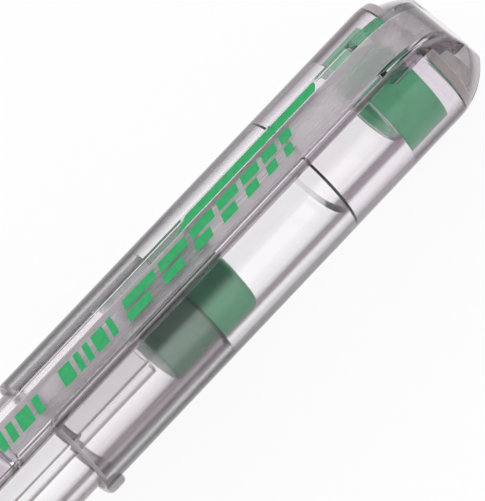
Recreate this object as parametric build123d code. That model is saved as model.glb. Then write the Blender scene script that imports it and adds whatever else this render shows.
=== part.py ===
from build123d import *
from math import cos, sin, sqrt, tan, radians
import os

# Clear stick ballpoint pen with its clear cap pushed over the barrel's tail.
#
# Every place along the pen is a station: its distance in mm from the cap's mouth, positive
# towards the cap's closed end and negative towards the writing point. The pen's axis is X,
# the pocket clip is on top (+Z) and Y runs across the pen. The shift to the origin, which is
# the middle of the pen's footprint on the table, comes last.

# ---- Driving dimensions, mm and degrees -------------------------------------------------

# Barrel
barrel_dia = 8.78
barrel_bore = 7.0
barrel_length = 118.0
grip_rings = 8             # shallow V grooves turned into the barrel where the fingers hold it
grip_pitch = 3.2
grip_depth = 0.18
grip_width = 0.8
grip_setback = 15.0        # plain barrel ahead of the grooves, which the cap slides over

# Cap
cap_dia = 10.0
lip_dia = 10.9             # the lip stands proud of the tube on its lower side only
lip_width = 1.4
lip_drop = 0.95            # how far below the axis the lip's ends are
barrel_clearance = 0.06    # radial, between barrel and cap
socket_depth = 12.6        # how far the barrel's tail goes into the cap
throat_dia = 7.8
throat_length = 12.0
neck_dia = 6.4
neck_length = 6.0
end_wall = 1.0
rim_height = 0.8           # tube wall that stands past the end wall
rim_wall = 0.65            # also the dome's wall
dome_setback = 1.4         # centre of the round closed end, behind the rim
dome_drop = 0.3            # the dome is closed on its lower side, up to this far below the axis
tail_gap = 0.1             # between the barrel's tail and the shoulder in the cap

# Pocket clip and the strap that carries it round the closed end
clip_width = 3.5
clip_depth = 1.8
clip_plate = 0.6
clip_flange = 0.6
clip_lift = 1.35           # gap between the cap's tube and the clip
clip_overhang = 7.5        # clip past the cap's mouth
clip_hinge = 31.5          # station where the arm starts to bend
bend_radius = 6.0
bend_setback = 4.24        # centre of the strap's bend, behind the rim
strap_lean = 12.8          # how far the strap's end face leans from square
strap_foot = 1.5           # how far below the axis the strap is sunk in the dome
root_length = 3.4          # solid root that joins the clip to the tube
root_lean = 0.8            # how far the root's front face leans
root_sink = 0.4            # depth of the root's foot in the tube's wall
window_top = 2.9           # height of the open window behind the end wall
window_reach = 2.05        # length of the window at its top
window_drop = 1.5          # how far its top edge falls over that length
window_back = 1.1          # thickness of the closed end behind the window
bump_radius = 1.7
bump_setback = 2.6         # bump's middle behind the clip's free end
bump_gap = 0.3             # between the bump and the barrel

# Inner seal, a cup that closes over the writing point when the pen is capped
seal_length = 3.6
seal_dia = 5.6
seal_bore = 3.6
seal_floor = 0.9

# Tail plug
plug_stem = 4.0
plug_clearance = 0.03
plug_head_dia = 7.6
plug_head = 4.2            # tail face to the top of the dome
plug_crown = 9.0           # radius of the dome
plug_shoulder = 1.0        # depth of the bevel between the dome and the head's side

# Nose
nose_length = 17.3
nose_base_dia = 7.5
nose_tip_dia = 2.5
nose_spigot = 6.0
nose_seat_depth = 5.0      # counterbore for the refill tube, behind the barrel's front end
nose_bore = 2.4
nose_waist = 10.7          # distance from the barrel's front end to the change of slope
nose_waist_dia = 4.6

# Refill
tube_dia = 3.8
tube_bore = 2.24
tube_clearance = 0.03
ink_gap = 0.01             # film between the ink and the tube
ink_length = 84.0
grease_length = 6.0
tail_space = 0.5           # between the refill tube and the tail plug
holder_barb = 5.0          # barbed end in the tube
holder_lead = 1.0          # taper that lets the barb into the tube
holder_collar = 1.5

# Writing point
point_length = 3.6         # metal point ahead of the nose
point_dia = 1.9
point_tail_dia = 1.3
point_tail = 3.0
point_land = 1.0           # round metal between the nose and the point's cone
ball_dia = 0.7
ball_clearance = 0.01
ball_show = 0.2            # ball ahead of its socket
socket_lip = 0.08          # wall round the ball
swage_length = 0.5
channel_dia = 0.32         # ink channel behind the ball

# ---- Radii and stations worked out from them ---------------------------------------------

barrel_r = barrel_dia / 2
bore_r = barrel_bore / 2
cap_r = cap_dia / 2
lip_r = lip_dia / 2
socket_r = barrel_r + barrel_clearance
throat_r = throat_dia / 2
neck_r = neck_dia / 2
seal_r = seal_dia / 2
head_r = plug_head_dia / 2
tube_r = tube_dia / 2
ink_r = tube_bore / 2
ball_r = ball_dia / 2
point_r = point_dia / 2

throat_end = socket_depth + throat_length
neck_end = throat_end + neck_length
seal_end = neck_end + seal_length
floor_end = seal_end + end_wall
rim_end = floor_end + rim_height

tail = socket_depth - tail_gap
front = tail - barrel_length
nose_front = front - nose_length
ball_top = nose_front - point_length
ball_centre = ball_top + ball_r

clip_under = cap_r + clip_lift
clip_face = clip_under + clip_depth
clip_tip = -clip_overhang
lean = radians(strap_lean)
# The strap's outer face is flat along the clip, turns through bend_radius and then runs
# straight on as the flat end of the dome.
bend_station = rim_end - bend_setback
bend_height = clip_face - bend_radius
dome_centre = rim_end - dome_setback

step_cone = 0.25           # axial length of the small cones at the bore's steps
edge = 0.3                 # chamfer at mouths and ends


def turned(*edges):
    """Solid turned about the pen's axis from a closed half outline: x along the pen, y out."""
    return revolve(make_face(Curve() + list(edges)), Axis.X)


def turned_polygon(*points):
    """Solid turned from a half outline with straight sides."""
    return revolve(make_face(Polyline(*points, close=True)), Axis.X)


def rod(start, end, radius):
    """Plain round rod on the pen's axis between two stations."""
    return Pos((start + end) / 2, 0, 0) * Rot(0, 90, 0) * Cylinder(radius, abs(end - start))


def slab(face, inner, outer):
    """A side outline (x along the pen, z up) given thickness from y = inner to y = outer."""
    return extrude(Pos(0, inner, 0) * face, outer - inner, dir=(0, 1, 0))


def side(*points):
    """Side outline with straight edges; points are (station, height)."""
    return make_face(Polyline(*[(x, 0, z) for x, z in points], close=True))


def both_sides(solid):
    """The solid and its mirror image across the pen's middle plane."""
    return solid + mirror(solid, Plane.XZ)


# ---- Cap ---------------------------------------------------------------------------------

def cap_tube():
    """The cap's tube: stepped bore, seal seat, end wall, and a hollow round end past it."""
    mouth_r = socket_r + edge
    inner_r = cap_r - rim_wall
    into = sqrt(inner_r ** 2 - (floor_end - dome_centre) ** 2)
    half = sqrt(0.5)
    return turned(
        Polyline(
            (dome_centre, cap_r),
            (0, cap_r),
            (0, mouth_r),
            (edge, socket_r),
            (socket_depth, socket_r),
            (socket_depth, throat_r),
            (throat_end, throat_r),
            (throat_end + step_cone, neck_r),
            (neck_end, neck_r),
            (neck_end, seal_r),
            (seal_end, seal_r),
            (seal_end, 0),
            (floor_end, 0),
            (floor_end, into),
        ),
        ThreePointArc(
            (floor_end, into),
            (dome_centre + inner_r * half, inner_r * half),
            (dome_centre + inner_r, 0),
        ),
        Line((dome_centre + inner_r, 0), (dome_centre + cap_r, 0)),
        ThreePointArc(
            (dome_centre + cap_r, 0),
            (dome_centre + cap_r * half, cap_r * half),
            (dome_centre, cap_r),
        ),
    )


def lip():
    """Ridge round the lower side of the cap's mouth, something to push the cap off with."""
    ring = turned_polygon(
        (0, cap_r - edge / 2),
        (lip_width, cap_r - edge / 2),
        (lip_width, lip_r - edge / 2),
        (lip_width - edge / 2, lip_r),
        (edge / 2, lip_r),
        (0, lip_r - edge / 2),
    )
    length = 4 * lip_r
    return ring & (Pos(0, 0, -lip_drop - length / 2) * Box(length, length, length))


def under_strap(inset, foot):
    """Side outline of all that lies under the strap's outer face, less an inset."""
    radius = bend_radius - inset
    top = bend_height + radius
    out = Vector(cos(lean), 0, sin(lean))
    centre = Vector(bend_station, 0, bend_height)
    turn = centre + out * radius
    end = turn + Vector(sin(lean), 0, -cos(lean)) * ((turn.Z - foot) / cos(lean))
    plane = Plane(origin=centre, x_dir=(1, 0, 0), z_dir=(0, -1, 0))
    edges = [
        Line((clip_hinge, 0, top), (bend_station, 0, top)),
        plane * CenterArc((0, 0), radius, strap_lean, 90 - strap_lean),
        Line(turn, end),
        Line(end, (clip_hinge, 0, foot)),
        Line((clip_hinge, 0, foot), (clip_hinge, 0, top)),
    ]
    return make_face(Curve() + edges)


def strap():
    """The clip's channel carried on round the closed end and into the dome.

    Its flanges are deep behind the end wall, above the window that stays open on both sides.
    """
    half = clip_width / 2
    flange_in = half - clip_flange
    beyond = rim_end + 2 * cap_r
    whole = under_strap(0, -strap_foot)
    plate = slab(whole, -half, half) - slab(under_strap(clip_plate, -2 * strap_foot), -half, half)
    window_end = floor_end + window_reach
    window_low = window_top - window_drop
    zone = side(
        (clip_hinge, clip_under),
        (floor_end - edge, clip_under),
        (floor_end - edge, window_top),
        (window_end, window_low),
        (strap_face(0) - window_back, 0),
        (strap_face(-strap_foot) - window_back, -strap_foot),
        (beyond, -strap_foot),
        (beyond, clip_face + 1),
        (clip_hinge, clip_face + 1),
    )
    flanges = both_sides(slab(whole, flange_in, half) & slab(zone, flange_in, half))
    return plate + flanges


def strap_face(height):
    """Station of the strap's outer face at a height below its bend."""
    drop = bend_height + bend_radius * sin(lean) - height
    return bend_station + bend_radius * cos(lean) + drop * tan(lean)


def dome_cut():
    """All that is taken off the round end: its upper side past the rim, and its nose."""
    reach = 3 * cap_r
    upper = side(
        (rim_end, -dome_drop),
        (rim_end + reach, -dome_drop),
        (rim_end + reach, reach),
        (rim_end, reach),
    )
    nose = side(
        (strap_face(reach), reach),
        (strap_face(-reach), -reach),
        (strap_face(-reach) + reach, -reach),
        (strap_face(-reach) + reach, reach),
    )
    return slab(upper, -reach, reach) + slab(nose, -reach, reach)


def dome_end():
    """The thick flat end of the dome, behind the strap's face."""
    low = -2 * cap_r
    plate = side(
        (strap_face(-dome_drop) - window_back, -dome_drop),
        (strap_face(-dome_drop), -dome_drop),
        (strap_face(low), low),
        (strap_face(low) - window_back, low),
    )
    ball = Pos(dome_centre, 0, 0) * Rot(0, 90, 0) * Sphere(cap_r - rim_wall / 2)
    return slab(plate, -cap_r, cap_r) & ball


def root():
    """Solid block under the strap that joins the clip to the tube."""
    half = clip_width / 2
    foot = sqrt(cap_r ** 2 - half ** 2) - root_sink
    block = side(
        (rim_end - root_length, foot),
        (rim_end - root_length - root_lean, clip_under),
        (rim_end - root_length - root_lean, clip_face),
        (floor_end - edge, clip_face),
        (floor_end - edge, foot),
    )
    filled = slab(under_strap(clip_plate / 2, foot), -half, half)
    return slab(block, -half, half) & filled


def cap_shell():
    return (cap_tube() - dome_cut()) + dome_end() + lip() + strap() + root()


def clip_arm():
    """The clip's free arm: a channel with a rounded end and a bump that holds the cloth."""
    half = clip_width / 2
    bump_station = clip_tip + bump_setback
    bump_low = barrel_r + bump_gap
    bar = side((clip_tip, clip_under), (clip_hinge, clip_under), (clip_hinge, clip_face), (clip_tip, clip_face))
    channel = side(
        (bump_station + bump_radius, clip_under - 1),
        (clip_hinge + 1, clip_under - 1),
        (clip_hinge + 1, clip_face - clip_plate),
        (bump_station + bump_radius, clip_face - clip_plate),
    )
    flange_in = half - clip_flange
    arm = slab(bar, -half, half) - slab(channel, -flange_in, flange_in)
    bump_height = bump_low + bump_radius
    bump = Pos(bump_station, 0, bump_height) * Rot(90, 0, 0) * Cylinder(bump_radius, 2 * flange_in)
    bump += Pos(bump_station, 0, (bump_height + clip_under) / 2) * Box(
        2 * bump_radius, 2 * flange_in, abs(clip_under - bump_height) + 0.2)
    # The free end is round, seen from above.
    plan = Rectangle(clip_hinge - clip_tip - half, clip_width, align=(Align.MAX, Align.CENTER))
    plan = Pos(clip_hinge, 0) * plan + Pos(clip_tip + half, 0) * Circle(half)
    return (arm + bump) & extrude(plan, clip_face)


def inner_seal():
    """Cup with a lead-in at its mouth, pressed into the seat at the bore's far end."""
    bore = seal_bore / 2
    lead = 0.4
    return turned_polygon(
        (neck_end, bore + lead),
        (neck_end, seal_r),
        (seal_end, seal_r),
        (seal_end, 0),
        (seal_end - seal_floor, 0),
        (seal_end - seal_floor, bore),
        (neck_end + lead, bore),
    )


# ---- Barrel and its plug -------------------------------------------------------------------

def barrel():
    """Clear tube with a chamfer at each end and ring grooves where it is held."""
    half = grip_width / 2
    tube = turned_polygon(
        (front, bore_r),
        (front, barrel_r - edge),
        (front + edge, barrel_r),
        (tail - edge / 2, barrel_r),
        (tail, barrel_r - edge / 2),
        (tail, bore_r),
    )
    for ring in range(grip_rings):
        middle = front + grip_setback + half + ring * grip_pitch
        tube -= turned_polygon(
            (middle - 2 * half, barrel_r + grip_depth),
            (middle, barrel_r - grip_depth),
            (middle + 2 * half, barrel_r + grip_depth),
        )
    # The seam of the round faces is on top, away from the table.
    return Rot(90, 0, 0) * tube


def tail_plug():
    """Stem in the barrel's bore and a domed head that rests on the tail face."""
    stem_r = bore_r - plug_clearance
    top = tail + plug_head
    crown_centre = top - plug_crown
    bevel_r = head_r - plug_shoulder
    bevel_station = crown_centre + sqrt(plug_crown ** 2 - bevel_r ** 2)
    mid_r = bevel_r / 2
    return turned(
        Polyline(
            (top, 0),
            (tail - plug_stem, 0),
            (tail - plug_stem, stem_r - edge),
            (tail - plug_stem + edge, stem_r),
            (tail, stem_r),
            (tail, head_r),
            (bevel_station - plug_shoulder, head_r),
            (bevel_station - edge, bevel_r + 2 * edge),
            (bevel_station, bevel_r),
        ),
        ThreePointArc(
            (bevel_station, bevel_r),
            (crown_centre + sqrt(plug_crown ** 2 - mid_r ** 2), mid_r),
            (top, 0),
        ),
    )


# ---- Nose and refill -----------------------------------------------------------------------

def nose_cone():
    """Metal cone whose spigot sits in the barrel; it holds the refill's front end."""
    seat_r = tube_r + tube_clearance
    spigot_r = bore_r - plug_clearance
    base_r = nose_base_dia / 2
    tip_r = nose_tip_dia / 2
    bore = nose_bore / 2
    return turned_polygon(
        (nose_front, bore),
        (front + nose_spigot - nose_seat_depth, bore),
        (front + nose_spigot - nose_seat_depth, seat_r),
        (front + nose_spigot, seat_r),
        (front + nose_spigot, spigot_r - edge),
        (front + nose_spigot - edge, spigot_r),
        (front, spigot_r),
        (front, base_r),
        (front - edge, base_r),
        (front - nose_waist, nose_waist_dia / 2),
        (nose_front, tip_r),
    )


def tip_holder():
    """Plastic plug between the refill tube and the metal point."""
    seat = front + nose_spigot - nose_seat_depth
    bore = point_tail_dia / 2
    return turned_polygon(
        (nose_front + edge, bore),
        (seat + holder_collar + holder_barb, bore),
        (seat + holder_collar + holder_barb, ink_r - 0.2),
        (seat + holder_collar + holder_barb - holder_lead, ink_r - ink_gap),
        (seat + holder_collar, ink_r - ink_gap),
        (seat + holder_collar, tube_r),
        (seat, tube_r),
        (seat, nose_bore / 2 - tube_clearance),
        (nose_front + edge, nose_bore / 2 - tube_clearance),
    )


tube_front = front + nose_spigot - nose_seat_depth + holder_collar
ink_start = tube_front + holder_barb
grease_start = ink_start + ink_length


def refill_tube():
    end = tail - plug_stem - tail_space
    return rod(tube_front, end, tube_r) - rod(tube_front, end, ink_r)


def ink_column():
    return rod(ink_start, grease_start, ink_r - ink_gap)


def grease_follower():
    return rod(grease_start, grease_start + grease_length, ink_r - ink_gap)


def writing_tip():
    """Metal point: tail in the holder, cone, and the socket that is swaged round the ball."""
    lip_station = ball_top + ball_show
    lip_r = ball_r + socket_lip
    socket = ball_r + ball_clearance
    channel_r = channel_dia / 2
    cone_end = nose_front - point_land
    flange = nose_front + edge - ball_clearance * 2
    tail_r = point_tail_dia / 2 - ink_gap
    reach = lip_station - ball_centre
    mouth_r = sqrt(socket ** 2 - reach ** 2)
    seat_end = ball_centre + sqrt(socket ** 2 - channel_r ** 2)
    return turned(
        Polyline(
            (lip_station, mouth_r),
            (lip_station, mouth_r + socket_lip),
            (lip_station + swage_length, lip_r),
            (cone_end, point_r),
            (flange, point_r),
            (flange, tail_r),
            (nose_front + edge + point_tail, tail_r),
            (nose_front + edge + point_tail, channel_r),
            (seat_end, channel_r),
        ),
        ThreePointArc((seat_end, channel_r), (ball_centre, socket), (lip_station, mouth_r)),
    )


def writing_ball():
    return Pos(ball_centre, 0, 0) * Sphere(ball_r)


# ---- Export --------------------------------------------------------------------------------

pieces = {
    "cap_shell": cap_shell(),
    "clip_arm": clip_arm(),
    "inner_seal": inner_seal(),
    "barrel": barrel(),
    "tail_plug": tail_plug(),
    "nose_cone": nose_cone(),
    "tip_holder": tip_holder(),
    "refill_tube": refill_tube(),
    "ink_column": ink_column(),
    "grease_follower": grease_follower(),
    "writing_tip": writing_tip(),
    "writing_ball": writing_ball(),
}

# The cap's lip rests on the table and the origin is under the middle of the pen's length.
far_end = max(piece.bounding_box().max.X for piece in pieces.values())
origin = Pos(-(ball_top + far_end) / 2, 0, lip_r)

os.makedirs("parts", exist_ok=True)
for name, piece in pieces.items():
    export_step(origin * piece, f"parts/{name}.step")

print("shift along X", round(-(ball_top + far_end) / 2, 3), "axis height", lip_r)
print("far end station", round(far_end, 3))
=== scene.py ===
from math import atan2, cos, degrees, pi, radians, sin, sqrt, tan

import bmesh
import bpy
from mathutils import Matrix, Vector
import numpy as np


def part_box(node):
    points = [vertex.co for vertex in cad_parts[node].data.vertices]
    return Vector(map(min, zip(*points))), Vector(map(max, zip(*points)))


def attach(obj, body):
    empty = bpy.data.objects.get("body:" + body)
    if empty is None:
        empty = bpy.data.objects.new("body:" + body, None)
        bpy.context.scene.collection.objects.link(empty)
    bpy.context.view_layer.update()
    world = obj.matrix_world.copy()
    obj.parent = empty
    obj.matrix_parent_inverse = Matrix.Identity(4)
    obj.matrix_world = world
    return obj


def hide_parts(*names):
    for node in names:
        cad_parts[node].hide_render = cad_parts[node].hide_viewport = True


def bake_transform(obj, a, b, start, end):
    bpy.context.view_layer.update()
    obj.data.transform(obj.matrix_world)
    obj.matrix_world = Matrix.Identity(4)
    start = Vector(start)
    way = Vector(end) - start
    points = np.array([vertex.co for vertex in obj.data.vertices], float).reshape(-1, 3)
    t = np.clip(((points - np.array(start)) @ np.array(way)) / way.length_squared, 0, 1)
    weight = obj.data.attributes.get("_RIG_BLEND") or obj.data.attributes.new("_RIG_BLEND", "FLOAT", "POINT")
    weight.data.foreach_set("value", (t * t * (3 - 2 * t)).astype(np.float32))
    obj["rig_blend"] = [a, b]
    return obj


# Looks for the clear capped ballpoint pen. Places along the pen are stations: mm from the
# cap's mouth, positive towards the closed end. Heights are mm above the pen's axis, and
# "across" is mm along Y. Shapes are in these, and at() turns them into metres in the frame.

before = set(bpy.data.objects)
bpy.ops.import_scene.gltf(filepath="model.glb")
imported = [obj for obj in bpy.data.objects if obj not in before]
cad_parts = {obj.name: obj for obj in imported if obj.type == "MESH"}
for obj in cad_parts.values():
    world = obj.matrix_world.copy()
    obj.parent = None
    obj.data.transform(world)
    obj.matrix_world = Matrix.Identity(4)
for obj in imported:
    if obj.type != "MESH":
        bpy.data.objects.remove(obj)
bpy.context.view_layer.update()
scene = bpy.context.scene
scene.view_settings.view_transform = "Standard"
MM = 0.001

cap_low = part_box("cap_shell")[0]
barrel_low, barrel_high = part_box("barrel")
clip_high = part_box("clip_arm")[1]
MOUTH = cap_low.x
AXIS = (barrel_low.z + barrel_high.z) / 2


def at(station, across=0.0, height=0.0):
    return Vector((MOUTH + station * MM, across * MM, AXIS + height * MM))


def station_of(x):
    return (x - MOUTH) / MM


def ends(node):
    low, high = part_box(node)
    return station_of(low.x), station_of(high.x)


def half_width(node):
    low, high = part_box(node)
    return (high.y - low.y) / 2 / MM


# ---- Sizes, from the CAD nodes where one box tells them --------------------------------------

barrel_r = half_width("barrel")
front, tail = ends("barrel")
seal_start, seal_end = ends("inner_seal")
seal_r = half_width("inner_seal")
plug_start, plug_top = ends("tail_plug")
plug_r = half_width("tail_plug")
tube_front, tube_end = ends("refill_tube")
ink_start, ink_end = ends("ink_column")
grease_end = ends("grease_follower")[1]

# Bores of the barrel and refill
bore_r = 3.5
tube_r = 1.9
ink_r = 1.12
ink_fit = ink_r - 0.01     # ink and grease stay just off the tube's wall
plug_play = 0.03

# Cap
cap_r = 5.0
mouth_flare = 0.32         # the bore opens by this much over as much length
socket_r = 4.45            # the part of the bore that holds the barrel's tail
socket_end = 12.6
throat_r = 3.9
throat_end = 24.6
throat_run = 0.25          # length of the short cone from throat to neck
neck_r = 3.2
seal_bite = 0.04           # the seal sits tight in its seat, with no air between
wall_end = 35.2            # outer side of the wall that closes the bore
rim_end = 36.0             # where the dome's open side stops
rim_wall = 0.65            # wall of the dome
dome_centre = 34.6
dome_drop = 0.3            # the open side starts this far below the axis
lip_r = (AXIS - cap_low.z) / MM
lip_drop = 0.95            # how far below the axis the lip's ends are
lip_width = 1.4

# Pocket clip and the strap that carries it round the closed end
clip_tip, clip_hinge = ends("clip_arm")
clip_face = (clip_high.z - AXIS) / MM
clip_half = half_width("clip_arm")
clip_depth = 1.8
clip_under = clip_face - clip_depth
plate = 0.6
flange = 0.6
bend = 6.0
bend_station = rim_end - 4.24
bend_height = clip_face - bend
lean = radians(12.8)       # how far the strap's end face leans from square
strap_foot = 1.5           # how far below the axis the strap is sunk in the dome
root_length = 3.4
root_lean = 0.8
root_top = 4.28            # the root's foot, in the tube's wall
root_foot = 4.0
window_top = 2.9           # open window between the end wall and the strap
window_reach = 2.05
window_drop = 1.5
window_back = 1.1
bump_r = 1.7               # bump under the clip's free end
bump_station = clip_tip + 2.6
bump_height = barrel_r + 0.3 + bump_r
soft_length = 8            # the arm bends over this much of its length


# ---- Mesh helpers ----------------------------------------------------------------------------

def soften(points, fine=5):
    """Closed outline with its corners rounded. Points are (x, y) or (x, y, radius)."""
    out = []
    for i, point in enumerate(points):
        here = Vector(point[:2])
        if len(point) < 3:
            out.append(tuple(here))
            continue
        a = Vector(points[i - 1][:2]) - here
        b = Vector(points[(i + 1) % len(points)][:2]) - here
        la, lb = a.length, b.length
        a.normalize()
        b.normalize()
        angle = a.angle(b)
        cut = min(point[2] / tan(angle / 2), 0.45 * la, 0.45 * lb)
        radius = cut * tan(angle / 2)
        centre = here + (a + b).normalized() * (radius / sin(angle / 2))
        first = here + a * cut - centre
        sweep = first.angle_signed(here + b * cut - centre)
        for k in range(fine + 1):
            turn = -sweep * k / fine
            out.append(tuple(centre + Matrix.Rotation(turn, 2) @ first))
    return out


def new_object(name, mesh):
    obj = bpy.data.objects.new(name, mesh)
    scene.collection.objects.link(obj)
    return obj


def mesh_object(name, vertices, faces):
    mesh = bpy.data.meshes.new(name)
    mesh.from_pydata([tuple(v) for v in vertices], [], faces)
    return new_object(name, mesh)


def turn_out(obj):
    """Makes every face look outwards; for a mesh with no hollow inside."""
    work = bmesh.new()
    work.from_mesh(obj.data)
    bmesh.ops.recalc_face_normals(work, faces=work.faces)
    work.to_mesh(obj.data)
    work.free()
    return obj


def lathe(name, outline, steps=144):
    """Closed outline of (station, radius) turned about the pen's axis."""
    vertices, rings, faces = [], [], []
    for station, radius in outline:
        if radius < 1e-5:
            rings.append([len(vertices)] * steps)
            vertices.append(at(station))
            continue
        ring = []
        for k in range(steps):
            angle = 2 * pi * (k + 0.5) / steps
            ring.append(len(vertices))
            vertices.append(at(station, radius * sin(angle), radius * cos(angle)))
        rings.append(ring)
    for i, a in enumerate(rings):
        b = rings[(i + 1) % len(rings)]
        for k in range(steps):
            m = (k + 1) % steps
            face = list(dict.fromkeys((a[k], a[m], b[m], b[k])))
            if len(face) > 2:
                faces.append(face)
    area = sum(p[0] * q[1] - q[0] * p[1] for p, q in zip(outline, outline[1:] + outline[:1]))
    if area < 0:
        faces = [face[::-1] for face in faces]
    return mesh_object(name, vertices, faces)


def prism(name, outline, low, high, plan=False):
    """Outline given thickness. A side outline is (station, height) and runs across the pen
    from low to high; a plan outline is (station, across) and rises from low to high."""
    n = len(outline)
    if plan:
        vertices = [at(s, t, h) for h in (low, high) for s, t in outline]
    else:
        vertices = [at(s, t, h) for t in (low, high) for s, h in outline]
    faces = [list(range(n)), list(range(2 * n - 1, n - 1, -1))]
    faces += [(i, (i + 1) % n, n + (i + 1) % n, n + i) for i in range(n)]
    return turn_out(mesh_object(name, vertices, faces))


def settle(obj):
    """Applies the object's modifiers."""
    graph = bpy.context.evaluated_depsgraph_get()
    graph.update()
    mesh = bpy.data.meshes.new_from_object(obj.evaluated_get(graph))
    obj.modifiers.clear()
    old = obj.data
    obj.data = mesh
    bpy.data.meshes.remove(old)
    return obj


def boolean(obj, other, operation):
    """Joins, cuts or intersects obj with other, which is used up."""
    modifier = obj.modifiers.new("cut", "BOOLEAN")
    modifier.operation = operation
    modifier.solver = "EXACT"
    modifier.object = other
    settle(obj)
    mesh = other.data
    bpy.data.objects.remove(other)
    bpy.data.meshes.remove(mesh)
    return obj


def bevel(obj, width):
    modifier = obj.modifiers.new("edge", "BEVEL")
    modifier.width = width * MM
    modifier.segments = 3
    modifier.limit_method = "ANGLE"
    modifier.angle_limit = radians(35)
    modifier.use_clamp_overlap = True
    return settle(obj)


def smooth(obj):
    obj.data.shade_smooth()
    obj.data.set_sharp_from_angle(angle=radians(28))
    return obj


def dress(obj, material, body=None):
    obj.data.materials.clear()
    obj.data.materials.append(material)
    if body:
        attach(obj, body)


# ---- Node helpers ----------------------------------------------------------------------------

def nodes_of(owner):
    """Empties the node tree of a material or world, and returns its nodes and links."""
    owner.use_nodes = True
    owner.node_tree.nodes.clear()
    return owner.node_tree.nodes, owner.node_tree.links


def new_material(name, surface="ShaderNodeBsdfPrincipled"):
    """A material with one shader on its surface: material, nodes, links, shader, output."""
    material = bpy.data.materials.new(name)
    nodes, links = nodes_of(material)
    out = nodes.new("ShaderNodeOutputMaterial")
    shader = nodes.new(surface)
    links.new(shader.outputs[0], out.inputs["Surface"])
    return material, nodes, links, shader, out


def noise(nodes, links, scale, detail=3.0, stretch=(1, 1, 1)):
    coords = nodes.new("ShaderNodeTexCoord")
    mapping = nodes.new("ShaderNodeMapping")
    mapping.inputs["Scale"].default_value = stretch
    tex = nodes.new("ShaderNodeTexNoise")
    tex.inputs["Scale"].default_value = scale
    tex.inputs["Detail"].default_value = detail
    links.new(coords.outputs["Object"], mapping.inputs["Vector"])
    links.new(mapping.outputs["Vector"], tex.inputs["Vector"])
    return tex.outputs["Fac"]


def spread(nodes, links, value, low, high, start=0.3, end=0.7, kind="LINEAR"):
    """Goes from low to high as the value goes from start to end, and stays there beyond."""
    ranged = nodes.new("ShaderNodeMapRange")
    ranged.interpolation_type = kind
    ranged.inputs["From Min"].default_value = start
    ranged.inputs["From Max"].default_value = end
    ranged.inputs["To Min"].default_value = low
    ranged.inputs["To Max"].default_value = high
    links.new(value, ranged.inputs["Value"])
    return ranged.outputs["Result"]


def maths(nodes, links, operation, *values):
    """Result of a Math node; each value is a number or a socket."""
    node = nodes.new("ShaderNodeMath")
    node.operation = operation
    for value, socket in zip(values, node.inputs):
        if isinstance(value, float):
            socket.default_value = value
        else:
            links.new(value, socket)
    return node.outputs[0]


def two_tone(nodes, links, share, a, b):
    """Colour between a and b; each is three numbers or a socket."""
    mix = nodes.new("ShaderNodeMix")
    mix.data_type = "RGBA"
    for name, colour in (("A", a), ("B", b)):
        if isinstance(colour, tuple):
            mix.inputs[name].default_value = (*colour, 1)
        else:
            links.new(colour, mix.inputs[name])
    links.new(share, mix.inputs["Factor"])
    return mix.outputs["Result"]


def add_bump(nodes, links, shader, height, strength, distance):
    bump = nodes.new("ShaderNodeBump")
    bump.inputs["Strength"].default_value = strength
    bump.inputs["Distance"].default_value = distance
    links.new(height, bump.inputs["Height"])
    links.new(bump.outputs["Normal"], shader.inputs["Normal"])


# ---- Materials -------------------------------------------------------------------------------

def clear_plastic(name, tint, density, ior=1.5):
    """Clear moulding, with painted shade: its colour turns dark where the eye grazes it."""
    material, nodes, links, shader, out = new_material(name)
    # Painted shade: the body colour goes nearly black at grazing angles, so the moulding's edges read dark.
    painted_graze_shade = nodes.new("ShaderNodeLayerWeight")
    edge = spread(nodes, links, painted_graze_shade.outputs["Facing"], 0, 1, 0.40, 0.60)
    links.new(two_tone(nodes, links, edge, (0.99, 0.985, 0.99), (0.10, 0.075, 0.09)),
              shader.inputs["Base Color"])
    shader.inputs["Transmission Weight"].default_value = 0.99
    shader.inputs["IOR"].default_value = ior
    flow = noise(nodes, links, 420, 2.0, (0.25, 1, 1))
    links.new(spread(nodes, links, flow, 0.015, 0.05), shader.inputs["Roughness"])
    add_bump(nodes, links, shader, flow, 0.05, 0.0002)
    absorb = nodes.new("ShaderNodeVolumeAbsorption")
    absorb.inputs["Color"].default_value = (*tint, 1)
    absorb.inputs["Density"].default_value = density
    links.new(absorb.outputs["Volume"], out.inputs["Volume"])
    return material


FINISHES = {
    # name: body colour, transmission, roughness, how the grain is stretched
    "streaked": ((0.60, 0.56, 0.58), (0.25, 0.55), (0.15, 0.35), (0.02, 1, 1)),
    "matt": ((0.95, 0.90, 0.93), (0.20, 0.35), (0.25, 0.45), (0.4, 1, 1)),
    # Painted shade: this finish's darker body colour darkens the dome's hollow and its rim.
    "misty_painted_shade": ((0.50, 0.44, 0.45), (0.30, 0.50), (0.05, 0.2), (0.4, 1, 1)),
}


def add_finishes(material):
    """Lets faces of the moulding be streaked, matt, or hazy with a painted-shade darker body, by the mesh's
    own marks. They share one material because Cycles tracks the tint inside by material: a ray that left
    through another one would stay tinted for ever."""
    nodes, links = material.node_tree.nodes, material.node_tree.links
    shader = next(node for node in nodes if node.type == "BSDF_PRINCIPLED")

    def blend_in(mark, new, name):
        socket = shader.inputs[name]
        mix = nodes.new("ShaderNodeMix")
        mix.data_type = "RGBA" if name == "Base Color" else "FLOAT"
        if socket.is_linked:
            links.new(socket.links[0].from_socket, mix.inputs["A"])
        else:
            mix.inputs["A"].default_value = socket.default_value
        links.new(new, mix.inputs["B"])
        links.new(mark, mix.inputs["Factor"])
        links.new(mix.outputs["Result"], socket)

    for name, (body, through, rough, stretch) in FINISHES.items():
        attribute = nodes.new("ShaderNodeAttribute")
        attribute.attribute_name = name
        mark = attribute.outputs["Fac"]
        grain = noise(nodes, links, 1400, 3.0, stretch)
        dark = tuple(c * 0.82 for c in body)
        colour = two_tone(nodes, links, spread(nodes, links, grain, 0, 1), dark, body)
        blend_in(mark, colour, "Base Color")
        blend_in(mark, spread(nodes, links, grain, *through), "Transmission Weight")
        blend_in(mark, spread(nodes, links, grain, *rough), "Roughness")


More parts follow.
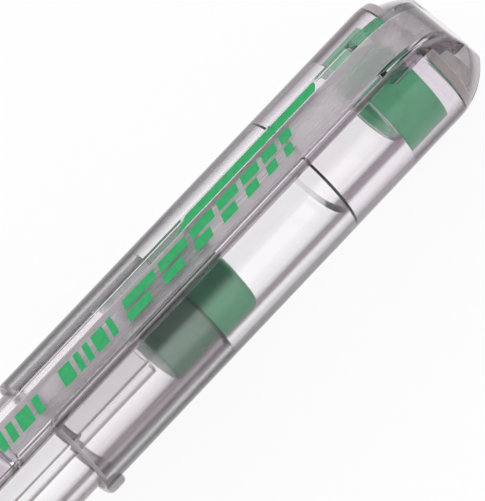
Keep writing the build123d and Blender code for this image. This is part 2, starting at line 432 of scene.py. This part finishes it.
def painted_clip_shade(nodes, links):
    """Painted shade mask: 1 along the two bands of a round part's side that the clip's edges shade, 0
    elsewhere.
    """
    coords = nodes.new("ShaderNodeTexCoord")
    place = nodes.new("ShaderNodeSeparateXYZ")
    links.new(coords.outputs["Object"], place.inputs[0])
    facing = nodes.new("ShaderNodeSeparateXYZ")
    links.new(coords.outputs["Normal"], facing.inputs[0])
    rise = maths(nodes, links, "SUBTRACT", place.outputs["Z"], AXIS)
    aside = maths(nodes, links, "ABSOLUTE", place.outputs["Y"])
    turn = maths(nodes, links, "ARCTAN2", aside, rise)
    endways = maths(nodes, links, "ABSOLUTE", facing.outputs["X"])
    inner = spread(nodes, links, turn, 0, 1, radians(9), radians(17))
    outer = spread(nodes, links, turn, 1, 0, radians(31), radians(39))
    side = spread(nodes, links, endways, 1, 0, 0.3, 0.8)
    return maths(nodes, links, "MULTIPLY", maths(nodes, links, "MULTIPLY", inner, outer), side)


def coloured_plastic(name, light, dark, rough=(0.25, 0.4), scale=900, subsurface=0.0,
                     specular=0.5, shade=None):
    """Plastic mottled between two tones, with a painted shade colour along the clip's edges if given."""
    material, nodes, links, shader, out = new_material(name)
    grain = noise(nodes, links, scale, 4.0)
    tone = two_tone(nodes, links, spread(nodes, links, grain, 0, 1), dark, light)
    # Painted shade: the clip's shade is mixed into the base colour here.
    if shade:
        tone = two_tone(nodes, links, painted_clip_shade(nodes, links), tone, shade)
    links.new(tone, shader.inputs["Base Color"])
    links.new(spread(nodes, links, grain, *rough), shader.inputs["Roughness"])
    shader.inputs["Specular IOR Level"].default_value = specular
    if subsurface:
        shader.inputs["Subsurface Weight"].default_value = subsurface
        shader.inputs["Subsurface Radius"].default_value = (0.3, 1.0, 0.6)
        shader.inputs["Subsurface Scale"].default_value = 0.0006
    add_bump(nodes, links, shader, grain, 0.08, 0.0001)
    return material


def polished_metal(name, colour, rough=(0.08, 0.2)):
    """Metal with fine turning marks round the pen."""
    material, nodes, links, shader, out = new_material(name)
    shader.inputs["Metallic"].default_value = 1.0
    turned = noise(nodes, links, 500, 3.0, (9, 0.4, 0.4))
    dark = tuple(c * 0.86 for c in colour)
    links.new(two_tone(nodes, links, spread(nodes, links, turned, 0, 1), dark, colour),
              shader.inputs["Base Color"])
    links.new(spread(nodes, links, turned, *rough), shader.inputs["Roughness"])
    return material


clear = clear_plastic("clear_moulding", (0.78, 0.725, 0.785), 150)
add_finishes(clear)
clear_barrel = clear_plastic("clear_extrusion", (0.80, 0.74, 0.78), 130)
tubing = clear_plastic("translucent_tube", (0.86, 0.86, 0.84), 60, 1.15)
# The plug's green carries a painted shade along both edges of the clip.
green = coloured_plastic("green_moulding", (0.10, 0.43, 0.22), (0.08, 0.37, 0.18),
                         subsurface=0.2, specular=0.3, shade=(0.003, 0.14, 0.055))
# Painted light: a lighter copy of the plug's green, standing in for the pale veil of light over the seal.
seal_green_painted_light = coloured_plastic("green_seal_painted_light", (0.13, 0.51, 0.27), (0.11, 0.45, 0.23),
                              subsurface=0.2, specular=0.3)
print_green = coloured_plastic("green_print", (0.026, 0.41, 0.14), (0.018, 0.35, 0.11),
                               (0.3, 0.45), 2500)
holder_white = coloured_plastic("natural_holder", (0.82, 0.82, 0.79), (0.74, 0.74, 0.71))
ink = coloured_plastic("green_ink", (0.010, 0.17, 0.085), (0.006, 0.12, 0.06),
                       (0.05, 0.12), 1200)
grease = coloured_plastic("ink_follower", (0.80, 0.76, 0.60), (0.70, 0.66, 0.50),
                          (0.1, 0.2), subsurface=0.4)
nickel = polished_metal("bright_nickel", (0.80, 0.79, 0.76))
carbide = polished_metal("point_ball", (0.62, 0.62, 0.64), (0.05, 0.12))


# ---- The cap and its clip, one clear moulding ------------------------------------------------

def strap_face(height):
    """Station of the strap's leaning end face at a height."""
    drop = bend_height + bend * sin(lean) - height
    return bend_station + bend * cos(lean) + drop * tan(lean)


def arc(radius, start, end, fine):
    """Points on a circle round the dome's centre; angles in degrees from the pen's axis."""
    turns = [radians(start + (end - start) * k / fine) for k in range(fine + 1)]
    return [(dome_centre + radius * cos(t), max(radius * sin(t), 0)) for t in turns]


def leaning_slab(name, near, far, high, low, half):
    """Slab between two planes that lean like the strap's end face, near and far from it."""
    return prism(name, [(strap_face(high) + near, high), (strap_face(high) + far, high),
                        (strap_face(low) + far, low), (strap_face(low) + near, low)], -half, half)


def level_bead(name, major, minor, height, reach=84, steps=120, around=20):
    """Round bar bent level round the dome's centre, over its nose."""
    vertices, faces = [], []
    for i in range(steps + 1):
        t = radians(-reach + 2 * reach * i / steps)
        for k in range(around):
            a = 2 * pi * k / around
            r = major + minor * cos(a)
            vertices.append(at(dome_centre + r * cos(t), r * sin(t), height + minor * sin(a)))
    for i in range(steps):
        for k in range(around):
            m = (k + 1) % around
            faces.append((i * around + k, i * around + m,
                          (i + 1) * around + m, (i + 1) * around + k))
    faces.append(tuple(range(around)))
    faces.append(tuple(range(steps * around, (steps + 1) * around)))
    return turn_out(mesh_object(name, vertices, faces))


def cap_tube():
    """Stepped tube whose round end is open on its upper side and flat at its nose."""
    inner_r = cap_r - rim_wall
    into = sqrt(inner_r ** 2 - (wall_end - dome_centre) ** 2)
    start = degrees(atan2(into, wall_end - dome_centre))
    seat_r = seal_r - seal_bite
    bore = [(0, socket_r + mouth_flare, 0.08), (mouth_flare, socket_r, 0.1),
            (socket_end, socket_r, 0.05), (socket_end, throat_r, 0.08),
            (throat_end, throat_r, 0.06), (throat_end + throat_run, neck_r, 0.06),
            (seal_start, neck_r, 0.05), (seal_start, seat_r, 0.03), (seal_end, seat_r, 0.03),
            (seal_end, 0), (wall_end, 0), (wall_end, into, 1.2)]
    outside = arc(cap_r, 0, 90, 60) + [(0, cap_r, 0.15)]
    tube = lathe("clear_cap", soften(bore + arc(inner_r, start - 16, 0, 40) + outside), 192)

    end = leaning_slab("end", 0.03 - window_back, 2, 1, -9, 6)
    ball = lathe("ball", arc(cap_r - rim_wall / 2, 180, 0, 60), 96)
    boolean(end, ball, "INTERSECT")
    boolean(tube, end, "UNION")

    # The open side's edge is fully round: the wall stops short and a round bead tops it.
    half = rim_wall / 2
    low = -dome_drop - half
    stop = rim_end - half
    far = 15               # more than the cap reaches from the axis or the stop
    upper = prism("upper", [(stop, low), (stop + far, low), (stop + far, far), (stop, far)],
                  -far, far)
    boolean(upper, leaning_slab("nose", -0.03, far, far - 1, -far, far - 1), "UNION")
    boolean(tube, upper, "DIFFERENCE")
    beads = level_bead("beads", sqrt((cap_r - half) ** 2 - low ** 2), half - 0.005, low)
    boolean(beads, leaning_slab("trim", -0.05, far, 4, -4, far), "DIFFERENCE")
    middle = sqrt((cap_r - half) ** 2 - (stop - dome_centre) ** 2)
    turns = [2 * pi * k / 20 for k in range(20)]
    rim = lathe("rim", [(stop + half * sin(t), middle + half * cos(t)) for t in turns])
    above = prism("above", [(30, low + 0.01), (40, low + 0.01), (40, 9), (30, 9)], -9, 9)
    boolean(rim, above, "INTERSECT")
    boolean(beads, rim, "UNION")
    return boolean(tube, beads, "UNION")


def lip():
    """Ridge on the lower side of the mouth."""
    start, sunk = 0.02, cap_r - 0.3
    ring = lathe("lip", soften([
        (start, sunk), (start, lip_r, 0.3), (lip_width, lip_r, 0.3), (lip_width, sunk)]))
    below = prism("below", [(-2, -lip_drop), (4, -lip_drop), (4, -9), (-2, -9)], -9, 9)
    return boolean(ring, below, "INTERSECT")


def strap_arc(radius, fine=40):
    sweep = pi / 2 - lean
    return [(bend_station + radius * cos(pi / 2 - sweep * k / fine),
             bend_height + radius * sin(pi / 2 - sweep * k / fine)) for k in range(fine + 1)]


def under_strap(inset, start, foot):
    """Side outline of all that lies under the strap's outer face, less an inset."""
    radius = bend - inset
    x, z = bend_station + radius * cos(lean), bend_height + radius * sin(lean)
    return ([(start, foot), (start, clip_face - inset)] + strap_arc(radius)
            + [(x + (z - foot) * tan(lean), foot)])


def channel():
    """The clip and the strap that carries it round the closed end, flanged on both sides.
    The flanges are deep behind the end wall, above the window."""
    half = clip_half
    outer = prism("clip_body", under_strap(0, clip_tip, -strap_foot), -half, half)
    plan = [(60, -half), (60, half)]
    plan += [(clip_tip + half - half * sin(pi * k / 24), half * cos(pi * k / 24))
             for k in range(25)]
    boolean(outer, prism("clip_plan", plan, -20, 20, plan=True), "INTERSECT")
    root_start = rim_end - root_length
    floor_end = wall_end - 0.3
    window = soften([
        (-20, clip_under), (rim_end - root_length - root_lean, clip_under, 0.4),
        (root_start, root_top), (root_start, root_foot), (floor_end, root_foot),
        (floor_end, window_top, 0.3), (wall_end + window_reach, window_top - window_drop, 0.9),
        (strap_face(0) - window_back, 0, 1.2), (strap_face(-6) - window_back, -6), (-20, -6)])
    boolean(outer, prism("window", window, -9, 9), "DIFFERENCE")
    bevel(outer, 0.16)
    inner = half - flange
    hollow = prism("clip_hollow", under_strap(plate, bump_station + bump_r, -8), -inner, inner)
    bevel(hollow, 0.12)
    return boolean(outer, hollow, "DIFFERENCE")


def bump():
    """Rounded bump between the flanges that holds the pocket's edge."""
    turns = [-pi / 2 + pi * k / 20 for k in range(21)]
    outline = [(bump_station + bump_r * sin(t), bump_height - bump_r * cos(t)) for t in turns]
    outline += [(bump_station + bump_r, clip_under + 0.3),
                (bump_station - bump_r, clip_under + 0.3)]
    return bevel(prism("bump", outline, -clip_half + flange, clip_half - flange), 0.15)


cap = cap_tube()
arm = boolean(channel(), bump(), "UNION")
boolean(cap, lip(), "UNION")
boolean(cap, arm, "UNION")
dress(smooth(cap), clear)


def depth_under_face(station, height):
    """How far a point lies under the outer face of the clip and its strap."""
    if station <= bend_station:
        return clip_face - height
    along, rise = station - bend_station, height - bend_height
    if rise > along * tan(lean):
        return bend - sqrt(along ** 2 + rise ** 2)
    return (strap_face(height) - station) * cos(lean)


def finish_faces(obj):
    """Streaked under the clip's face, hazy with a painted-shade darker body inside the dome and on the open
    side's rim, matt on open edges and the lip.
    """
    marks = {name: obj.data.attributes.new(name, "FLOAT", "FACE").data for name in FINISHES}
    for i, face in enumerate(obj.data.polygons):
        x, y, z = face.center
        station, across, height = station_of(x), y / MM, (z - AXIS) / MM
        radius = sqrt(across ** 2 + height ** 2)
        under = abs(depth_under_face(station, height) - plate) < 0.04
        between_flanges = abs(across) < clip_half - flange - 0.03
        dome_edge = station > rim_end - 0.5 and -0.70 < height < -0.2 and face.normal.z > 0.2
        rim_edge = (rim_end - 0.7 < station < rim_end + 0.05 and height > -0.7
                    and face.normal.x > -0.3 and radius > 3.9 and abs(across) > clip_half)
        dome_inside = (station > wall_end - 0.05 and radius < cap_r - rim_wall + 0.02
                       and height < 0.1 and face.normal.z > 0.1)
        lip_edge = station < 2 and radius > cap_r + 0.02 and height < 0
        mouth_edge = station < 0.36 and 4.3 < radius < cap_r - 0.1
        if under and between_flanges:
            marks["streaked"][i].value = 1
        elif dome_edge or lip_edge or mouth_edge:
            marks["matt"][i].value = 1
        # Painted shade: the dome's inside and the rim's edge get the darker hazy finish.
        elif rim_edge or dome_inside:
            marks["misty_painted_shade"][i].value = 1


finish_faces(cap)
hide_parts("cap_shell", "clip_arm")

hinge = at(clip_hinge, 0, clip_face)
soft_end = at(clip_hinge - soft_length, 0, clip_face)


def flex(obj):
    """The arm bends with the clip's joint; the tube beside it keeps still."""
    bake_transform(obj, "cap", "clip", start=hinge, end=soft_end)
    weights = obj.data.attributes["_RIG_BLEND"].data
    for vertex in obj.data.vertices:
        x, y, z = vertex.co
        height = (z - AXIS) / MM
        on_bump = (abs(y) < clip_half * MM and station_of(x) < bump_station + bump_r
                   and height > barrel_r)
        if height < clip_under - 0.02 and not on_bump:
            weights[vertex.index].value = 0.0


flex(cap)


# ---- Print on the clip -----------------------------------------------------------------------

def clip_print():
    """A long bar, and rows of slanted blocks that spell nothing. They lie where the real print does; that
    the blocks spell nothing is an open fault. The clip is bare without this piece."""
    shapes = [soften([(14.6, 1.06), (28.0, 1.06), (28.6, 1.62, 0.2), (16.0, 1.62, 0.3)])]

    def slanted(start, end, low, high, slant):
        shapes.append([(start + low * slant, low), (end + low * slant, low),
                       (end + high * slant, high), (start + high * slant, high)])

    # Two rows of blocks beside the bar, shorter and shorter.
    start = 8.6
    for length in (3.0, 2.6, 2.2, 1.9, 1.6, 1.3, 1.0):
        slanted(start, start + length, 0.10, 0.72, 0.45)
        slanted(start, start + length * 0.72, -0.72, -0.10, 0.45)
        start += length + 0.42
    # Two groups of ticks towards the free end.
    for start, lengths in ((2.4, (1.1, 0.5, 0.5, 1.1, 0.5)), (-3.6, (0.6, 0.6, 1.2, 0.6))):
        for length in lengths:
            slanted(start, start + length, -0.6, 0.6, 0.3)
            start += length + 0.35

    prints = [prism("clip_print", shape, clip_face - 0.004, clip_face + 0.012, plan=True)
              for shape in shapes]
    work = bmesh.new()
    for piece in prints:
        work.from_mesh(piece.data)
    work.to_mesh(prints[0].data)
    work.free()
    for piece in prints[1:]:
        bpy.data.objects.remove(piece)
    return prints[0]


marks = clip_print()
dress(marks, print_green)
flex(marks)


# ---- Barrel, plug, seal, refill --------------------------------------------------------------

def barrel_outline():
    grooves, first, pitch, half, depth = 8, 15.4, 3.2, 0.4, 0.18
    points = [(front, bore_r, 0.05), (front, barrel_r, 0.3)]
    for ring in range(grooves):
        middle = front + first + ring * pitch
        points += [(middle - half, barrel_r, 0.1), (middle, barrel_r - depth, 0.15),
                   (middle + half, barrel_r, 0.1)]
    return soften(points + [(tail, barrel_r, 0.2), (tail, bore_r, 0.08)])


def seal_outline():
    wall, floor_at, cup_r = 0.4, seal_end - 0.9, 1.8
    return soften([
        (seal_start, cup_r + wall, 0.05), (seal_start, seal_r, 0.08), (seal_end, seal_r, 0.05),
        (seal_end, 0), (floor_at, 0), (floor_at, cup_r, 0.25), (seal_start + wall, cup_r, 0.1)])


def plug_outline():
    """Plug with a shallow crown and a rounded edge."""
    crown, steps = 9.0, 14
    centre = plug_top - crown
    edge_r = plug_r - 1.0
    stem_r = bore_r - plug_play
    edge_station = centre + sqrt(crown ** 2 - edge_r ** 2)
    points = [(plug_top, 0), (plug_start, 0), (plug_start, stem_r, 0.3), (tail, stem_r),
              (tail, plug_r, 0.08), (edge_station - 0.2, plug_r, 0.9)]
    for k in range(steps):
        r = edge_r * (1 - k / steps)
        points.append((centre + sqrt(crown ** 2 - r ** 2), r))
    return soften(points)


def follower_outline():
    """Grease with a hollow behind its edge and a raised middle."""
    rise, steps = 0.5, 8
    parts = [k / steps for k in range(1, steps + 1)]
    return [(ink_end, 0), (ink_end, ink_fit), (grease_end, ink_fit)] + [
        (grease_end - rise * (1 - part ** 2), ink_fit * (1 - part)) for part in parts]


def turned(name, outline, steps, material, slot, body, node):
    """Turned piece that stands for a CAD node."""
    piece = lathe(name, outline, steps)
    dress(smooth(piece), material, body)
    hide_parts(node)


turned("clear_barrel", barrel_outline(), 180, clear_barrel, "clear_plastic", "pen", "barrel")
turned("seal_cup", seal_outline(), 120, seal_green_painted_light, "green_plastic", "cap", "inner_seal")
turned("end_plug", plug_outline(), 120, green, "green_plastic", "pen", "tail_plug")
turned("refill", soften([(tube_front, ink_r, 0.05), (tube_front, tube_r, 0.1),
                         (tube_end, tube_r, 0.12), (tube_end, ink_r, 0.05)]),
       96, tubing, "tube_plastic", "pen", "refill_tube")
turned("ink", [(ink_start, 0), (ink_start, ink_fit), (ink_end, ink_fit), (ink_end, 0)],
       64, ink, "green_ink", "pen", "ink_column")
turned("follower", follower_outline(), 64, grease, "grease", "pen", "grease_follower")

for name, material in (("nose_cone", nickel), ("writing_tip", nickel),
                       ("writing_ball", carbide), ("tip_holder", holder_white)):
    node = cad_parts[name]
    node.data.materials.clear()
    node.data.materials.append(material)


# ---- Floor, light panel and lights -----------------------------------------------------------

def sheet(name, half, z, material):
    mesh = bpy.data.meshes.new(name)
    corners = [(-half, -half, z), (half, -half, z), (half, half, z), (-half, half, z)]
    mesh.from_pydata(corners, [], [(0, 1, 2, 3)])
    mesh.materials.append(material)
    new_object(name, mesh)


def mixed(nodes, links, share, first, second):
    node = nodes.new("ShaderNodeMixShader")
    links.new(share, node.inputs["Fac"])
    links.new(first, node.inputs[1])
    links.new(second, node.inputs[2])
    return node.outputs[0]


def floor_material():
    """White paper for the camera and in glosses, nothing for rays that come through the pen."""
    material, nodes, links, paper, out = new_material("pale_floor")
    path = nodes.new("ShaderNodeLightPath")
    paper.inputs["Base Color"].default_value = (0.86, 0.86, 0.86, 1)
    paper.inputs["Roughness"].default_value = 0.9
    glow = nodes.new("ShaderNodeEmission")
    glow.inputs["Color"].default_value = (1, 1, 1, 1)
    glow.inputs["Strength"].default_value = 1.0
    seen = maths(nodes, links, "MAXIMUM", path.outputs["Is Camera Ray"],
                 path.outputs["Is Glossy Ray"])
    share = maths(nodes, links, "MULTIPLY", seen, 0.92)
    lit = mixed(nodes, links, share, paper.outputs["BSDF"], glow.outputs["Emission"])
    clear_through = nodes.new("ShaderNodeBsdfTransparent").outputs[0]
    final = mixed(nodes, links, path.outputs["Is Transmission Ray"], lit, clear_through)
    links.new(final, out.inputs["Surface"])
    return material


def panel_material():
    """White near the pen, a soft grey further out: what clear plastic shows through itself."""
    material, nodes, links, glow, out = new_material("light_panel", "ShaderNodeEmission")

    def vector(operation, value, by=None):
        node = nodes.new("ShaderNodeVectorMath")
        node.operation = operation
        links.new(value, node.inputs[0])
        if by:
            node.inputs[1].default_value = by
        return node.outputs["Value" if operation == "LENGTH" else "Vector"]

    place = nodes.new("ShaderNodeNewGeometry").outputs["Position"]
    from_middle = vector("SUBTRACT", place, (-0.04, 0.60, 0))
    away = vector("LENGTH", vector("MULTIPLY", from_middle, (0.6, 1, 0)))
    grey = spread(nodes, links, away, 0, 1, 0.80, 0.96, "SMOOTHSTEP")
    links.new(two_tone(nodes, links, grey, (1, 1, 1), (0.33, 0.27, 0.32)), glow.inputs["Color"])
    path = nodes.new("ShaderNodeLightPath")
    links.new(path.outputs["Is Transmission Ray"], glow.inputs["Strength"])
    material.cycles.emission_sampling = "NONE"
    return material


sheet("floor", 3.0, 0.0, floor_material())
sheet("light_panel", 2.9, -0.35, panel_material())


def studio():
    """White walls on both long sides of the pen, a dim ceiling between them, and a dim lilac
    ground for rays that come through the pen past the light panel. Rays that the pen's own
    surfaces have scattered find an even white room, and the camera a white backdrop."""
    world = bpy.data.worlds.new("studio")
    scene.world = world
    nodes, links = nodes_of(world)

    def background(colour, strength):
        node = nodes.new("ShaderNodeBackground")
        node.inputs["Color"].default_value = (*colour, 1)
        node.inputs["Strength"].default_value = strength
        return node.outputs[0]

    coords = nodes.new("ShaderNodeTexCoord")
    parts = nodes.new("ShaderNodeSeparateXYZ")
    links.new(coords.outputs["Generated"], parts.inputs[0])
    path = nodes.new("ShaderNodeLightPath")
    through = path.outputs["Is Transmission Ray"]
    turn = maths(nodes, links, "ARCTAN2", parts.outputs["Y"], parts.outputs["Z"])
    near = spread(nodes, links, turn, 1, 0, -0.80, -0.72)
    far = spread(nodes, links, turn, 0, 1, 1.05, 1.20)
    walls = maths(nodes, links, "MAXIMUM", near, far)
    down = spread(nodes, links, parts.outputs["Z"], 1, 0, -0.05, 0.15)
    bent_down = maths(nodes, links, "MULTIPLY", through, down)
    scattered = maths(nodes, links, "GREATER_THAN", path.outputs["Diffuse Depth"], 0.5)
    scattered_through = maths(nodes, links, "MULTIPLY", scattered, through)

    room = background((0.96, 0.95, 1.0), 0.30)
    for share, colour, strength in (
            (walls, (1.0, 0.99, 0.98), 1.2),
            (bent_down, (0.95, 0.82, 0.93), 0.30),
            (scattered, (1, 1, 1), 0.8),
            (scattered_through, (1, 1, 1), 1.6),
            (path.outputs["Is Camera Ray"], (1, 1, 1), 1.0)):
        room = mixed(nodes, links, share, room, background(colour, strength))
    end = nodes.new("ShaderNodeOutputWorld")
    links.new(room, end.inputs["Surface"])


studio()


def softbox(name, place, target, size, power):
    data = bpy.data.lights.new(name, "AREA")
    data.shape = "RECTANGLE"
    data.size, data.size_y = size
    data.energy = power
    obj = new_object(name, data)
    obj.location = place
    obj.rotation_euler = (target - place).to_track_quat("-Z", "Y").to_euler()


aim = at(10)
softbox("key", aim + Vector((0.05, 0.72, 0.72)), aim, (1.3, 0.7), 4.5)


# ---- Camera ----------------------------------------------------------------------------------

SENSOR = 36                # mm
IMAGE_HEIGHT = 501         # the longer side of the picture, which the sensor's width spans


def photo_camera(roll=46.5, tilt=16.0, slope=7.7, distance=0.6, scale=14.95,
                 aim_x=17.79, aim_y=-0.53):
    """Camera tilted across the pen and sloping along it, in degrees. Distance is in metres,
    scale in image units per mm at the axis, and the aim in mm along and across the view."""
    th, al, ro = radians(tilt), radians(slope), radians(roll)
    over = Vector((0, -sin(th), cos(th)))
    along = Vector((cos(al), 0, 0)) + over * sin(al)
    across = Vector((0, cos(th), sin(th)))
    back = over * cos(al) - Vector((sin(al), 0, 0))
    right = along * cos(ro) - across * sin(ro)
    up = along * sin(ro) + across * cos(ro)
    centre = at(aim_x / cos(al)) + across * (aim_y * MM)
    data = bpy.data.cameras.new("camera")
    data.sensor_width = SENSOR
    data.lens = scale * (distance / MM) * SENSOR / IMAGE_HEIGHT
    data.clip_end = 50
    data.clip_start = 0.01
    camera = new_object("camera", data)
    basis = Matrix((right, up, back)).transposed().to_4x4()
    camera.matrix_world = Matrix.Translation(centre + back * distance) @ basis
    scene.camera = camera


photo_camera()
